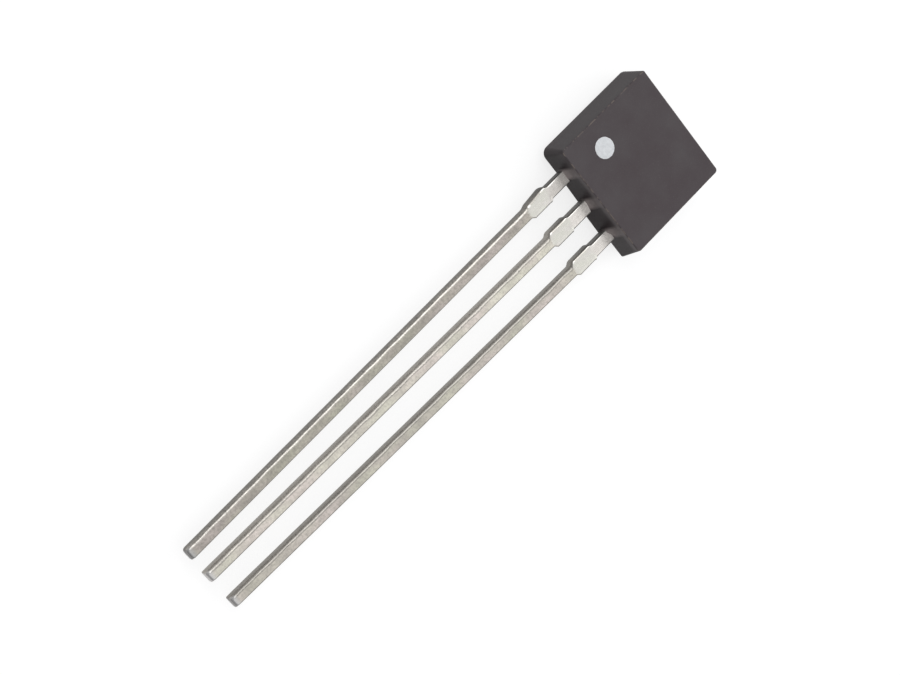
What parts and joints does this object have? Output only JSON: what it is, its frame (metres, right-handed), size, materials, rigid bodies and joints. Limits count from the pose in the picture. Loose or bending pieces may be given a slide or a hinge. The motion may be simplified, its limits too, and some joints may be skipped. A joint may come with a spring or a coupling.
{
  "type": "hall effect sensor",
  "caption": "Flat moulded magnetic-field sensor with drafted sides and long stamped solder leads with shoulders, leaving one end in a row.",
  "frame": {"origin": "middle of the rear face, the unmarked one that the part lies on", "axes": "+X across the leads, +Y along the leads from their tips to the top of the body, +Z from the rear face to the marked face"},
  "size_m": [0.0046, 0.0216, 0.0016],
  "materials": {
    "moulding_epoxy": "dark warm grey mineral-filled epoxy, matte, finely mottled",
    "tinned_lead": "tin-dipped copper alloy, satin, finely pitted and mottled",
    "silver_adhesive": "silver-filled epoxy, matte",
    "silicon": "polished silicon, dark blue grey",
    "bond_gold": "bright drawn gold wire",
    "marking_ink": "white pad-printed ink, thin and matte, a plain round dot"
  },
  "bodies": {
    "root": {"moulded_body": "moulding_epoxy", "supply_lead": "tinned_lead", "ground_lead": "tinned_lead", "output_lead": "tinned_lead", "die_attach": "silver_adhesive", "sensor_die": "silicon", "supply_wire": "bond_gold", "ground_wire": "bond_gold", "output_wire": "bond_gold"}
  },
  "joints": []
}
